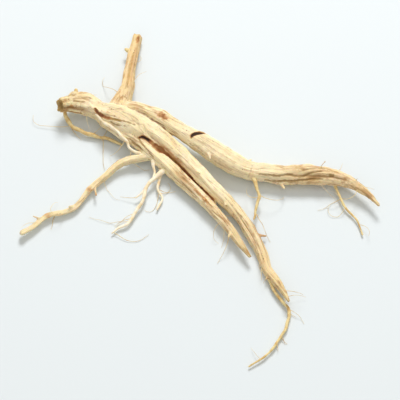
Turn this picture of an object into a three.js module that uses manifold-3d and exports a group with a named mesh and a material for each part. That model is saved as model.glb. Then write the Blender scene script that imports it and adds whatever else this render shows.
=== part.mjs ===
import * as THREE from 'three';
import { mergeVertices } from 'three/addons/utils/BufferGeometryUtils.js';
import Module from 'manifold-3d';

// A dried ginseng root lying on a surface, in millimetres, +Z up.
// Its cut head points to -X and its legs run to +X.

// Widths at the thickest place of each branch.
const bodyWidth = 13;
const upperLegWidth = 8.2;
const lowerLegWidth = 7.4;
const rightLegWidth = 9.2;
const armWidth = 6.2;
const sideRootWidth = 3.4;
const rootletWidth = 1.9;

// What lies lower than this is pressed flat, so the root rests on small level spots.
const flatHeight = 0;

// Surface of the thick branches: height of the lengthwise ridges and of the cross folds,
// as a share of the branch's radius.
const ridgeShare = 0.1;
const foldShare = 0.025;

// How far the flat sides of a shrunken branch go toward a polygon of its corners.
const facetShare = 0.8;

// The torn slit where the two lower legs part, and how much deeper than wide it is.
const slitWidth = 1.6;
const slitDeepness = 2.6;

// Rings along a branch stand this far apart, and the last few round off its tip.
const thickStep = 2.0;
const thinStep = 1.9;
const tipRings = 3;

// Rests of broken rootlets on the legs: size, lean toward the tip, the stretch of the branch
// they stand on, and how far round from the top they turn.
const stubWidth = 1.5;
const stubLength = 2.6;
const stubLean = 0.7;
const stubsStart = 0.3;
const stubsEnd = 0.94;
const stubSpread = 1.7;
const stubTurn = 2.4;
const stubTaper = 0.2;
const stubUneven = 0.4;

// The block under the ground that cuts the flat spots.
const groundSize = 400;
const groundDepth = 20;

const mergeDistance = 1e-5;

const wasm = await Module();
wasm.setup();

// Every branch is a route of hand-placed points: x, y, z and the share of the full width there.
// A cut end is hollow at the middle by the depth given, and the other ends are rounded.
const branches = [
  {
    name: 'head and body', width: bodyWidth, sides: 22, step: 1.5, ridges: [5, 8], folds: 5.2,
    corners: 8, startHollow: 1.1,
    // the neck's lumps: distance along the branch, height, length, and angle round from the top
    lumps: [[6.5, 1.6, 1.4, 1.5], [10, 0.6, 2.2, 0.6], [13.5, 0.6, 1.8, -0.9], [26, 0.5, 4, 1.3]],
    route: [
      [-66.3, -6.1, 9.4, 0.48], [-64.9, -2.2, 7.8, 0.55], [-62, 1.4, 6.9, 0.65],
      [-58.4, 4, 6.6, 0.66], [-54.4, 5, 6.6, 0.62], [-50, 6.6, 6.5, 0.86],
      [-45, 8.6, 6.3, 0.98], [-39.5, 10, 6.2, 0.98], [-34.5, 10.8, 5.8, 0.76],
      [-29, 11.1, 5.1, 0.47], [-23, 11.2, 4.7, 0.33], [-16, 11.2, 4.4, 0.22],
    ],
  },
  {
    name: 'upper leg', width: upperLegWidth, sides: 14, step: thickStep, ridges: [3, 5], folds: 7.5,
    corners: 5, stubs: 4,
    lumps: [[34, 0.35, 3, 0.9], [57, 0.4, 3, -0.6], [76, 0.3, 3, 1.4]],
    route: [
      [-48, 9.6, 6.8, 0.9], [-42, 11.8, 6.8, 1], [-33, 13.9, 6.6, 0.96],
      [-23.5, 14.8, 6.3, 0.82], [-13.5, 14.8, 5.9, 0.78], [-4.5, 14.4, 5.4, 0.78],
      [4.5, 13.9, 4.8, 0.76], [13.5, 13.9, 4.2, 0.73], [21.5, 13.2, 3.5, 0.68],
      [30, 11, 2.8, 0.65], [39, 7.9, 2.1, 0.59], [46.3, 3.9, 2.2, 0.52],
      [52.7, 2.3, 3.1, 0.5], [59.5, 0.5, 4, 0.32], [64.2, -1.5, 4.6, 0.16],
    ],
  },
  {
    name: 'lower leg', width: lowerLegWidth, sides: 14, step: thickStep, ridges: [3, 4], folds: 6.6,
    corners: 5, stubs: 3,
    lumps: [[24, 0.3, 2.5, -1.2], [46, 0.3, 2.5, 0.4], [66, 0.25, 2, -0.8]],
    route: [
      [-47, 4.5, 6, 0.95], [-39.5, 5.8, 5.8, 1], [-31.5, 7, 5.4, 0.86],
      [-21, 7.5, 4.9, 0.8], [-12, 7.8, 4.5, 0.78], [-3, 7.7, 4.2, 0.72],
      [6, 7.5, 4, 0.66], [14, 6.7, 3.9, 0.58], [22, 5.7, 3.9, 0.54],
      [31, 3.7, 4.1, 0.42], [39, 2, 4.4, 0.22],
    ],
  },
  {
    name: 'right leg', width: rightLegWidth, sides: 15, step: thickStep, ridges: [4, 5], folds: 6.1,
    corners: 6, stubs: 5,
    lumps: [[18, 0.5, 2.2, 0.5], [36, 0.35, 3, -0.8], [65, 0.7, 2, -0.9], [88, 0.4, 3, 1.1]],
    route: [
      [-49, 12.5, 7.4, 0.7], [-44, 16.4, 8, 0.55], [-39, 18.7, 8.3, 0.55],
      [-33, 20.4, 8.5, 0.68], [-24.5, 21.7, 8.6, 0.79], [-16, 22.9, 8.4, 0.9],
      [-8.5, 24.3, 7.8, 0.96], [-1, 26, 6.9, 1], [5.5, 28, 5.8, 0.95],
      [11, 30.8, 4.8, 0.86], [15.5, 34.8, 4.3, 0.9], [20.7, 38.8, 4.15, 0.94],
      [27, 45.2, 4.3, 0.93], [33.3, 50.6, 4.5, 0.85], [39.6, 54.6, 4.7, 0.67],
      [46.6, 56.7, 5, 0.45], [54, 57.2, 5.2, 0.28], [60, 56.5, 5.5, 0.14],
    ],
  },
  {
    name: 'arm', width: armWidth, sides: 12, step: thickStep, ridges: [2, 3], folds: 6.8,
    corners: 5, endHollow: 0.9,
    lumps: [[12, 0.3, 2, 0.7], [33, 0.4, 2, 1.5]],
    route: [
      [-47.5, 8.5, 6.6, 1.5], [-50.2, 13, 6.9, 1.4], [-52.3, 18, 6.9, 1.05],
      [-54.5, 22, 6.6, 0.9], [-57.7, 25.7, 6, 0.83], [-63.1, 32.7, 4.7, 0.74],
      [-67.7, 39.2, 3.5, 0.7], [-71.2, 44.2, 2.7, 0.72],
    ],
  },
  {
    name: 'arm stub', width: rootletWidth, sides: 6, step: 1, ridges: [2, 3], folds: 0,
    route: [[-66.2, 36.6, 3.8, 1], [-68.4, 35.6, 4.2, 0.9], [-70, 35.2, 4.4, 0.6]],
  },
  {
    name: 'side root', width: sideRootWidth, sides: 9, step: 1.7, ridges: [2, 3], folds: 4.3,
    corners: 4, stubs: 3,
    lumps: [[26.5, 0.35, 1.6, 0.5], [55, 0.35, 1.6, -0.6]],
    route: [
      [-24, 6, 4.6, 1.05], [-26.8, 1.8, 4.2, 0.96], [-29.3, -1.8, 3.8, 0.93],
      [-31, -6.8, 3.3, 0.91], [-31, -14, 2.8, 0.82], [-31.2, -22, 2.4, 0.8],
      [-29.5, -31.4, 2.1, 0.79], [-30.7, -36.4, 2.1, 0.75], [-34.5, -43.2, 2.2, 0.74],
      [-34.8, -51, 2.5, 0.72], [-36, -57.3, 3, 0.78],
    ],
  },
  {
    name: 'rootlet under the head', width: rootletWidth, sides: 6, step: thinStep,
    ridges: [2, 3], folds: 5,
    route: [
      [-65.2, -3.6, 6.6, 1], [-63.8, -5.6, 4.6, 0.95], [-60, -6.8, 3.1, 0.92],
      [-56, -6.3, 2.5, 0.92], [-49.6, -3.5, 1.9, 0.9], [-43.4, 0.2, 1.4, 0.75],
      [-37.5, 2.4, 1.2, 0.5],
    ],
  },
  {
    name: 'strand on the body', width: rootletWidth, sides: 6, step: thinStep,
    ridges: [2, 3], folds: 6,
    route: [
      [-54.6, 3.6, 9.4, 0.6], [-52.7, 2.2, 10.1, 0.9], [-50, 1.8, 10, 1],
      [-48, 1.7, 9.4, 0.95], [-44.3, 1.9, 8.6, 0.9], [-39.7, 2.3, 8.4, 0.85],
      [-36.3, 2.7, 7.6, 0.8], [-33.4, 2.4, 6.4, 0.75], [-30.6, 2.4, 5.4, 0.75],
      [-27.2, 3.9, 5.4, 0.8],
    ],
  },
  {
    name: 'white rootlet', width: rootletWidth, sides: 6, step: thinStep, ridges: [2, 3], folds: 5.5,
    route: [
      [-15.2, 6.6, 4.2, 1.7], [-15.6, 3.4, 4, 1.2], [-15.6, -0.5, 4, 0.98], [-14.6, -5.3, 3.5, 0.88],
      [-11.9, -10.1, 2.9, 0.78], [-10.2, -15.9, 2.3, 0.7], [-8.7, -21.3, 1.8, 0.65],
      [-9.8, -25.4, 1.4, 0.56], [-10.5, -29.8, 1.3, 0.4],
    ],
  },
  {
    name: 'curled rootlet', width: rootletWidth, sides: 6, step: thinStep, ridges: [2, 3], folds: 0,
    route: [
      [-18, 6.4, 3.8, 1.1], [-14.2, 1.3, 2.6, 0.64], [-11.5, -2.1, 1.9, 0.58],
      [-7.7, -3.3, 1.5, 0.53], [-6, -6.3, 1.3, 0.48], [-5.2, -9, 1.3, 0.4],
    ],
  },
  {
    name: 'rootlet at the joint', width: rootletWidth, sides: 6, step: thinStep,
    ridges: [2, 3], folds: 5.8,
    route: [
      [10.4, 30.4, 5, 1.5], [14, 28.6, 5.8, 0.95], [17.8, 26.6, 6, 0.72], [21.9, 23.9, 5.4, 0.66],
      [24.6, 19.8, 4.4, 0.6], [27, 15.6, 3.4, 0.4],
    ],
  },
  {
    name: 'rootlet near the tip', width: rootletWidth, sides: 6, step: thinStep,
    ridges: [2, 3], folds: 6.3,
    route: [
      [44.6, 4.9, 2.4, 0.9], [53.5, -0.3, 2, 0.72], [64.5, -2.7, 1.7, 0.68],
      [69.3, -7.3, 1.5, 0.62], [72.3, -16, 1.4, 0.56], [73, -24, 1.3, 0.5],
      [71.4, -32.4, 1.3, 0.38],
    ],
  },
  {
    name: 'far rootlet', width: rootletWidth, sides: 6, step: thinStep, ridges: [2, 3], folds: 5.1,
    route: [
      [35.6, 52, 4, 0.8], [42, 50.4, 2.8, 0.66], [49, 47.6, 1.8, 0.56],
      [56.4, 46.6, 1.4, 0.44], [63, 43.4, 1.3, 0.34],
    ],
  },
];

const slit = {
  name: 'slit between the lower legs', width: slitWidth, sides: 8, step: 1.8, ridges: [2, 3], folds: 0,
  deepness: slitDeepness,
  route: [
    [-33.4, 7.3, 9.1, 0.4], [-32.2, 8.3, 8.6, 0.9], [-30.2, 9.4, 8, 1],
    [-27, 10.1, 7.4, 1], [-23.8, 10.7, 6.8, 0.9], [-20.6, 11.1, 6.2, 0.6],
  ],
};

// A smooth run of values through evenly counted stops, read at 0 to 1.
function valueAlong(values, t) {
  const place = t * (values.length - 1);
  const i = Math.min(Math.floor(place), values.length - 2);
  const f = place - i;
  const [a, b] = [values[i], values[i + 1]];
  const before = values[Math.max(i - 1, 0)];
  const after = values[Math.min(i + 2, values.length - 1)];
  const slopeA = (b - before) / 2;
  const slopeB = (after - a) / 2;
  const f2 = f * f;
  const f3 = f2 * f;
  return a * (2 * f3 - 3 * f2 + 1) + b * (3 * f2 - 2 * f3)
    + slopeA * (f3 - 2 * f2 + f) + slopeB * (f3 - f2);
}

// Lengthwise ridges that drift round the branch, cross folds, single lumps and flat sides.
function reliefAt(branch, s, angle, radius) {
  const [few, many] = branch.ridges;
  const seed = branch.route[0][0];
  const ridge = 0.6 * Math.cos(few * angle + seed + 0.05 * s)
    + 0.5 * Math.cos(many * angle - 1.7 * seed - 0.08 * s + 0.8 * Math.sin(0.21 * s));
  let fold = 0;
  if (branch.folds > 0) {
    const phase = 2 * Math.PI * s / branch.folds;
    fold = Math.sin(phase + 0.9 * Math.sin(0.37 * phase) + 0.5 * Math.cos(angle + seed));
  }
  let relief = radius * (ridgeShare * ridge + foldShare * fold);
  for (const [where, height, length, round] of branch.lumps ?? []) {
    const along = (s - where) / length;
    const across = (Math.cos(angle - round) - 1) * 2;
    relief += height * Math.exp(-along * along + across);
  }
  if (branch.corners) {
    const half = Math.PI / branch.corners;
    const turn = angle + half + 0.3 * Math.sin(0.07 * s + seed);
    const fromFlat = turn - 2 * half * Math.floor(turn / (2 * half)) - half;
    const flat = Math.cos(half) / Math.cos(fromFlat);
    relief += facetShare * radius * (flat - (1 + Math.cos(half)) / 2);
  }
  return relief;
}

// Distance along the branch for each ring, and how far the ring shrinks where the end rounds off.
function ringPlaces(length, branch, endRadius) {
  const places = [];
  const straightEnd = branch.endHollow ? length : length - endRadius;
  const count = Math.max(2, Math.round(straightEnd / branch.step));
  for (let i = 0; i <= count; i += 1) {
    places.push({ s: straightEnd * i / count, shrink: 1 });
  }
  if (!branch.endHollow) {
    for (let i = 1; i <= tipRings; i += 1) {
      const turn = 0.42 * Math.PI * i / tipRings;
      places.push({ s: straightEnd + endRadius * Math.sin(turn), shrink: Math.cos(turn) });
    }
  }
  return places;
}

// The middle line of a branch, smooth through its stops.
function branchCurve(branch) {
  const points = branch.route.map(([x, y, z]) => new THREE.Vector3(x, y, z));
  const curve = new THREE.CatmullRomCurve3(points, false, 'catmullrom', 0.5);
  curve.arcLengthDivisions = 400;
  return curve;
}

// Where a branch is at a share of its length, which way it runs, and how thick it is.
function frameAt(branch, curve, share) {
  const t = curve.getUtoTmapping(Math.min(share, 1));
  const along = curve.getTangent(t).normalize();
  const side = new THREE.Vector3(0, 0, 1).cross(along).normalize();
  const top = along.clone().cross(side);
  const radius = valueAlong(branch.route.map((stop) => stop[3]), t) * branch.width / 2;
  return { along, side, top, centre: curve.getPoint(t), radius };
}

// A closed cylinder bent along the branch's route and swollen to its radius and relief.
function branchSolid(branch) {
  const curve = branchCurve(branch);
  const length = curve.getLength();
  const places = ringPlaces(length, branch, frameAt(branch, curve, 1).radius);
  const rings = places.length - 1;
  const frames = places.map((place) => ({ ...place, ...frameAt(branch, curve, place.s / length) }));

  const geometry = new THREE.CylinderGeometry(1, 1, 1, branch.sides, rings);
  const position = geometry.attributes.position;
  const vertex = new THREE.Vector3();
  for (let i = 0; i < position.count; i += 1) {
    vertex.fromBufferAttribute(position, i);
    const ring = Math.round((0.5 - vertex.y) * rings);
    const { s, shrink, along, side, top, centre, radius } = frames[ring];
    const reach = Math.hypot(vertex.x, vertex.z);
    const moved = centre.clone();
    if (reach > 0.5) {
      const angle = Math.atan2(vertex.x, vertex.z);
      const out = (radius + reliefAt(branch, s, angle, radius)) * shrink;
      moved.addScaledVector(side, out * Math.sin(angle));
      moved.addScaledVector(top, out * Math.cos(angle) * (branch.deepness ?? 1));
    } else if (ring === 0) {
      moved.addScaledVector(along, branch.startHollow ?? 0);
    } else {
      moved.addScaledVector(along, -(branch.endHollow ?? 0));
    }
    position.setXYZ(i, moved.x, moved.y, moved.z);
  }
  return toSolid(geometry);
}

// Short rests of broken rootlets, evenly along a branch and turned from one to the next.
function stubsOf(branch) {
  const curve = branchCurve(branch);
  const stubs = [];
  for (let i = 0; i < (branch.stubs ?? 0); i += 1) {
    const share = stubsStart + (stubsEnd - stubsStart) * (i + 0.5) / branch.stubs;
    const { along, side, top, centre, radius } = frameAt(branch, curve, share);
    const angle = stubSpread * Math.sin(stubTurn * (i + branch.stubs));
    const out = side.multiplyScalar(Math.sin(angle)).addScaledVector(top, Math.cos(angle));
    const length = stubLength * (1 + stubUneven * Math.cos(stubTurn * i));
    const route = [-0.5, 0.2, 1].map((reach, k) => {
      const stop = centre.clone().addScaledVector(out, radius + reach * length);
      stop.addScaledVector(along, stubLean * (reach + 0.5) * length);
      return [stop.x, stop.y, stop.z, 1 - stubTaper * k];
    });
    stubs.push({ name: 'stub', width: stubWidth, sides: 5, step: 1.4, ridges: [2, 3], folds: 0, route });
  }
  return stubs;
}

function toSolid(geometry) {
  const bare = geometry.clone();
  bare.deleteAttribute('normal');
  bare.deleteAttribute('uv');
  const merged = mergeVertices(bare, mergeDistance);
  return new wasm.Manifold(new wasm.Mesh({
    numProp: 3,
    vertProperties: new Float32Array(merged.attributes.position.array),
    triVerts: new Uint32Array(merged.index.array),
  }));
}

function toGeometry(solid) {
  const mesh = solid.getMesh();
  const geometry = new THREE.BufferGeometry();
  geometry.setAttribute('position', new THREE.BufferAttribute(mesh.vertProperties, 3));
  geometry.setIndex(new THREE.BufferAttribute(mesh.triVerts, 1));
  geometry.computeVertexNormals();
  return geometry;
}

// All branches grow together, the slit is torn out, and what lies under the ground is pressed flat.
let root = branchSolid(branches[0]);
for (const branch of [...branches.slice(1), ...branches.flatMap(stubsOf)]) {
  root = root.add(branchSolid(branch));
}
const under = new THREE.BoxGeometry(groundSize, groundSize, groundDepth);
under.translate(0, 0, flatHeight - groundDepth / 2);
root = root.subtract(branchSolid(slit)).subtract(toSolid(under));

// The middle of the outline stands over the origin.
const geometry = toGeometry(root);
geometry.computeBoundingBox();
const middle = geometry.boundingBox.getCenter(new THREE.Vector3());
geometry.translate(-middle.x, -middle.y, -geometry.boundingBox.min.z);

const driedRoot = new THREE.MeshStandardMaterial({ color: 0xe6cfa2, roughness: 0.85, metalness: 0 });
const ginsengRoot = new THREE.Mesh(geometry, driedRoot);
ginsengRoot.name = 'ginseng_root';

const group = new THREE.Group();
group.add(ginsengRoot);
export default group;
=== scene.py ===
import bpy
import itertools
import math
import numpy as np
from mathutils import Matrix, Vector


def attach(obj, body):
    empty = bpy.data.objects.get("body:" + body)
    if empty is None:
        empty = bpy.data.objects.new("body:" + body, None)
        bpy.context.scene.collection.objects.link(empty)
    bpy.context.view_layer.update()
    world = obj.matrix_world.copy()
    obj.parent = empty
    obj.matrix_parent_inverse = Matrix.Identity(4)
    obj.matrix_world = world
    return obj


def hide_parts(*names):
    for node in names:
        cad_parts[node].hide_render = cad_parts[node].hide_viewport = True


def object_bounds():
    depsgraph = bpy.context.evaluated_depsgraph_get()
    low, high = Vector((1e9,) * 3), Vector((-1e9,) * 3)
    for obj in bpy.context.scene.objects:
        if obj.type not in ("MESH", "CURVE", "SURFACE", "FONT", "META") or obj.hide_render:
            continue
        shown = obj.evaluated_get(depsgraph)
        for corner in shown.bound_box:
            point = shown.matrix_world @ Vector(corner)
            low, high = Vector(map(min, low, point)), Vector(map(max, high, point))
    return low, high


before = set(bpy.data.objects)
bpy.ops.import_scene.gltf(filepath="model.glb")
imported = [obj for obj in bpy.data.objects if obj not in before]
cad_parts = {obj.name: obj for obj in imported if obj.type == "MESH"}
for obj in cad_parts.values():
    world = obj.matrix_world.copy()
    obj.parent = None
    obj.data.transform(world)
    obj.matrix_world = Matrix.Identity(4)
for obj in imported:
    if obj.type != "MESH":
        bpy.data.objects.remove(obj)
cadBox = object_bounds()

mm = 0.001
routeShift = (-0.26, -0.93, 0.0)      # mm, the part stands with the middle of its outline on the origin

# seeds of the noise patterns; the wrinkles of each branch and each cut end have their own
seeds = {"wrinkles": 3, "nextBranch": 11, "knobs": 31, "sway": 32, "lift": 33, "spots": (57, 58),
         "crackWidth": 71, "crackShade": 72, "lineEdge": 73, "cutEnds": 91}

# the thick parts of the root, all one skin; routes are x, y, z in mm and the share of the full width
rootForm = {
    "voxel": 0.34,             # mm between points of the skin
    "tubeSpacing": 0.5,        # mm between the rings of the rough tubes
    "tubeResolution": 6,
    "smoothing": (0.6, 4),     # how far and how often the forks are smoothed
    "forkSoftness": 0.55,      # mm over which two branches' wrinkles mix
    "leastShare": 0.02,        # a branch that has less in a point is left out there
    "pastEnd": 2,              # how much further off a point is for each mm past a branch's end
    "wrinkleDepth": 0.36,      # mm, on a branch of the full radius; thinner ones have flatter wrinkles
    "fineDepth": 0.08,
    "crossDepth": 0.07,
    "lumpDepth": 0.16,
    "ringDepth": 0.26,
    "fullRadius": 3.5,
    "flattest": (0.6, 1.15),   # least and most share of those depths
    "calmShare": 0.55,         # how much flatter the wrinkles of the pale parts are
    "hollowRounds": 10,        # how far round a point its hollow is measured, in points
    "hollowDepth": (0.03, 0.3),      # mm of none and all
    "grainStep": 20,           # mm between the patterns of one branch and the next
}

# the large shape of a branch; heights are shares of the radius
ridgeForm = {"height": 0.1, "shares": (0.6, 0.5), "phases": (1, -1.7), "twist": (0.05, -0.08),
             "sway": 0.8, "swayRate": 0.21}
foldForm = {"height": 0.025, "unevenness": 0.9, "unevenRate": 0.37, "lean": 0.5}
facetForm = {"height": 0.8, "twist": 0.3, "twistRate": 0.07}      # flat sides, as of a polygon
lumpRoundness = 2

# noise patterns of the wrinkles, in the order of their seeds: mm round the branch and along it
wrinkleNoise = {
    "drift": (6, 14), "wrinkle": (2.0, 26.0), "wrinklePatch": (3.5, 9), "fine": (0.75, 7.0),
    "cross": (2.6, 1.1), "crossPatch": (4, 7), "lump": (5.4, 9.0),
    "ringWobble": (3, 4), "ringBreak": (2.2, 3),
}
grooveShare = {"wrinkle": 0.14, "fine": 0.22, "cross": 0.2}      # how much of the noise is groove
patchRange = {"wrinklePatch": (-0.4, 0.4), "crossPatch": (0.1, 0.6), "ringBreak": (-0.5, 0.4)}
# painted shade of the fine and cross grooves and of the head's rings, against that of a wrinkle
grooveShade = {"fine": 0.25, "cross": 0.5, "ring": 0.55}         # how dark against a wrinkle
wrinkleDrift = 0.5             # mm that a wrinkle wanders
leastWrinkle = 0.15            # between the patches
ringForm = {"spacing": 2.1, "wobble": 1.3, "fadeIn": (-0.5, 1), "fadeOut": (-3, 1), "sharpness": 3}

# rests of broken rootlets, evenly along a branch and turned from one to the next
stubForm = {"width": 1.5, "length": 2.6, "lengthChange": 0.4, "lean": 0.7, "from": 0.3, "to": 0.94,
            "spread": 1.7, "turn": 2.4, "reaches": (-0.5, 0.2, 1), "taper": 0.2, "resolution": 3}

# folds: mm from one to the next; ridges and corners: how many round the branch; rings: mm along it from
# and to; lumps: mm along, height and half length in mm, and the angle from the top that they face
branches = [
    {"name": "headAndBody", "width": 13, "ridges": (5, 8), "folds": 5.2, "corners": 8,
     "rings": (0.0, 14.5),
     "lumps": [(6.5, 1.6, 1.4, 1.5), (10, 0.6, 2.2, 0.6), (11.5, 0.9, 5, 1.4), (13.5, 0.6, 1.8, -0.9),
               (26, 0.5, 4, 1.3)],
     "route": [(-66.3, -6.1, 9.4, 0.48), (-64.9, -2.2, 7.8, 0.55), (-62, 1.4, 6.9, 0.65),
               (-58.4, 4, 6.6, 0.66), (-54.4, 5, 6.6, 0.62), (-50, 6.6, 6.5, 0.86),
               (-45, 8.6, 6.3, 0.98), (-39.5, 10, 6.2, 0.98), (-34.5, 10.8, 5.8, 0.76),
               (-29, 11.1, 5.1, 0.47), (-23, 11.2, 4.7, 0.33), (-16, 11.2, 4.4, 0.22)]},
    {"name": "upperLeg", "width": 8.2, "ridges": (3, 5), "folds": 7.5, "corners": 5, "stubs": 4,
     "lumps": [(34, 0.35, 3, 0.9), (57, 0.4, 3, -0.6), (76, 0.3, 3, 1.4)],
     "route": [(-48, 9.6, 6.8, 0.9), (-42, 11.8, 6.8, 1), (-33, 13.9, 6.6, 0.96),
               (-23.5, 14.8, 6.3, 0.82), (-13.5, 14.8, 5.9, 0.78), (-4.5, 14.4, 5.4, 0.78),
               (4.5, 13.9, 4.8, 0.76), (13.5, 13.9, 4.2, 0.73), (21.5, 13.2, 3.5, 0.68),
               (30, 11, 2.8, 0.65), (39, 7.9, 2.1, 0.59), (46.3, 3.9, 2.2, 0.52),
               (52.7, 2.3, 3.1, 0.5), (59.5, 0.5, 4, 0.32), (64.2, -1.5, 4.6, 0.16)]},
    {"name": "lowerLeg", "width": 7.4, "ridges": (3, 4), "folds": 6.6, "corners": 5, "stubs": 3,
     "lumps": [(24, 0.3, 2.5, -1.2), (46, 0.3, 2.5, 0.4), (66, 0.25, 2, -0.8)],
     "route": [(-47, 4.5, 6, 0.95), (-39.5, 5.8, 5.8, 1), (-31.5, 7, 5.4, 0.86),
               (-21, 7.5, 4.9, 0.8), (-12, 7.8, 4.5, 0.78), (-3, 7.7, 4.2, 0.72),
               (6, 7.5, 4, 0.66), (14, 6.7, 3.9, 0.58), (22, 5.7, 3.9, 0.54),
               (31, 3.7, 4.1, 0.42), (39, 2, 4.4, 0.22)]},
    {"name": "rightLeg", "width": 9.2, "ridges": (4, 5), "folds": 6.1, "corners": 6, "stubs": 5,
     "lumps": [(18, 0.5, 2.2, 0.5), (36, 0.35, 3, -0.8), (40, 0.8, 4.5, 1.3), (65, 0.7, 2, -0.9),
               (88, 0.4, 3, 1.1)],
     "route": [(-49, 12.5, 7.4, 0.7), (-44, 16.4, 8, 0.55), (-39, 18.7, 8.3, 0.55),
               (-33, 20.4, 8.5, 0.68), (-24.5, 21.6, 8.6, 0.73), (-16, 23.2, 8.4, 0.82),
               (-8.5, 24.8, 7.8, 0.93), (-1, 26.2, 6.9, 1), (5.5, 28, 5.8, 0.95),
               (11, 30.8, 4.8, 0.86), (15.5, 34.8, 4.3, 0.9), (20.7, 38.8, 4.15, 0.94),
               (27, 45.2, 4.3, 0.93), (33.3, 50.6, 4.5, 0.85), (39.6, 54.6, 4.7, 0.67),
               (46.6, 56.7, 5, 0.45), (54, 57.2, 5.2, 0.28), (60, 56.5, 5.5, 0.14)]},
    {"name": "arm", "width": 6.2, "ridges": (2, 3), "folds": 6.8, "corners": 5,
     "lumps": [(12, 0.3, 2, 0.7), (33, 0.4, 2, 1.5)],
     "route": [(-47.5, 8.5, 6.6, 1.5), (-50.2, 13, 6.9, 1.4), (-52.3, 18, 6.9, 1.05),
               (-54.5, 22, 6.6, 0.9), (-57.7, 25.7, 6, 0.83), (-63.1, 32.7, 4.7, 0.74),
               (-67.7, 39.2, 3.5, 0.7), (-71.2, 44.2, 2.7, 0.72)]},
    {"name": "sideRoot", "width": 3.4, "ridges": (2, 3), "folds": 4.3, "corners": 4, "stubs": 3,
     "lumps": [(30.7, 0.45, 1.4, 0.3), (41.5, 0.4, 1.2, -1.2), (47, 0.25, 1.1, 0.9),
               (52.8, 0.45, 1.5, 0.2), (59, 0.25, 1.2, -0.7), (66, 0.4, 1.6, 0.9)],
     "route": [(-24, 6, 4.6, 1.05), (-26.8, 1.8, 4.2, 0.96), (-29.3, -1.8, 3.8, 0.93),
               (-31, -6.8, 3.3, 0.91), (-31, -14, 2.8, 0.82), (-31.2, -22, 2.4, 0.8),
               (-29.5, -31.4, 2.1, 0.79), (-30.7, -36.4, 2.1, 0.75), (-34.5, -43.2, 2.2, 0.74),
               (-34.8, -51, 2.5, 0.72), (-36, -57.3, 3, 0.78)]},
]
branchNames = [branch["name"] for branch in branches]

# the two cut branches, which have no round tip: hollow at the middle of the cut and ragged at its rim;
# depths and sizes in mm, reaches as shares of the end's radius
cutEnds = {"headAndBody": {"atTip": False, "hollow": 0.8}, "arm": {"atTip": True, "hollow": 0.5}}
cutForm = {
    "faceDepth": 0.7, "faceReach": 1.25, "faceShare": 0.5, "bowlReach": 0.86,
    "roughDepth": 0.25, "roughSize": 0.9,
    "colorDepth": (0.1, 1.0), "colorReach": (0.85, 1.1), "colorShare": 0.4,
    "darkReach": (0.35, 0.75), "darkRagged": 0.15, "rimShade": 0.4,
}

# the low web of skin that closes the gap between the upper and the lower leg; its top takes the
# painted shade of the legGap crack
legWeb = {"width": 2.0, "resolution": 3,
          "route": [(-22, 11, 4.3, 0.5), (-18, 11.1, 3.9, 0.9), (-12, 11.1, 3.5, 1), (-6, 10.9, 3.2, 1),
                    (0, 10.6, 3, 1), (6, 10.4, 2.9, 0.9), (11, 10.1, 2.8, 0.4)]}

# cracks cut into the skin; routes as above, how many cuts lie under each other, and how dark a crack
# is along its length: 1 is nearly black, 0.6 reddish brown and 0.35 tan; the tan and reddish brown
# are the split's own colour, the near-black is painted shade where the crack is deepest
cracks = [
    # the slit between the legs: near-black painted shade at its deep start, then its own brown and tan
    {"name": "legSlit", "width": 1.6, "cuts": 3,
     "shades": [(0, 1), (0.14, 0.95), (0.21, 0.6), (0.28, 0.5), (0.4, 0.66), (0.52, 0.5), (1, 0.65)],
     "route": [(-32, 7.5, 9.9, 0.3), (-31.3, 8.5, 9.8, 0.5), (-29.9, 9.2, 9.4, 0.58),
               (-28.1, 9.6, 9.1, 0.65), (-26.2, 9.7, 8.8, 1), (-23.9, 9.9, 8.2, 1.45),
               (-21.7, 10.2, 7.7, 1.3), (-19.5, 10.6, 7.1, 0.8), (-16.6, 10.9, 6.5, 0.6),
               (-12, 11, 5.7, 0.6), (-8, 10.9, 5.2, 0.6), (-4, 10.8, 5, 0.4)]},
    # along the gap between the legs, over the web: all its colour is painted shade on the flanks and
    # web
    {"name": "legGap", "width": 1.2, "cuts": 1,
     "shades": [(0, 0.45), (0.3, 0.6), (0.7, 0.75), (1, 0.6)],
     "route": [(-18, 11.1, 4.9, 0.6), (-12, 11.1, 4.5, 1), (-6, 10.9, 4.2, 1), (0, 10.6, 4, 1),
               (6, 10.4, 3.9, 0.9), (11, 10.1, 3.8, 0.4)]},
    # the black arch across the right leg is a painted shadow over a shallow cut
    {"name": "rightLegArch", "width": 1.5, "cuts": 1, "shades": [(0, 1), (1, 1)],
     "route": [(-15.4, 21.3, 12, 0.3), (-15.8, 22.5, 12.2, 0.75), (-15.3, 24.3, 12.2, 0.95),
               (-14.3, 26.1, 11.6, 0.95), (-13, 27.6, 10.5, 0.8)]},
    {"name": "neckCrack", "width": 0.8, "cuts": 2,
     "shades": [(0, 0.88), (0.4, 0.8), (0.7, 0.6), (1, 0.4)],
     "route": [(-54.3, 3.2, 10.2, 0.6), (-52.3, 2.8, 10.5, 1), (-49.9, 2.9, 10.8, 1),
               (-47.6, 3.5, 11, 0.8), (-45.2, 4.6, 11.5, 0.5), (-42.4, 6, 11.7, 0.3)]},
    {"name": "headCrack", "width": 0.8, "cuts": 1, "shades": [(0, 0.55), (1, 0.7)],
     "route": [(-63.6, -6, 8, 0.5), (-62.6, -5.4, 7.8, 0.9), (-60.8, -3.4, 6.9, 1),
               (-58.6, -1.2, 6.4, 0.6)]},
    {"name": "armGroove", "width": 0.9, "cuts": 1, "shades": [(0, 0.2), (0.6, 0.25), (1, 0.2)],
     "route": [(-53, 19.5, 9.9, 0.3), (-56.3, 24.5, 8.9, 0.9), (-60.5, 29.5, 7.6, 1),
               (-64.8, 35.3, 6.2, 0.6)]},
]
crackForm = {
    "cutStep": 0.7, "voxel": 0.2, "resolution": 3, "edge": 0.45, "margin": 3,      # mm
    "raggedness": 0.35, "raggedSize": 1.1,      # share of the width, and mm
    "noiseStep": 9,                             # for each mm of width, so that no two cracks are alike
    "mottle": 0.3, "mottleSize": 1.0,           # share of the shade, and mm
    "mottleBelow": 0.8,                         # the darkest stretches stay even
}

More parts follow.
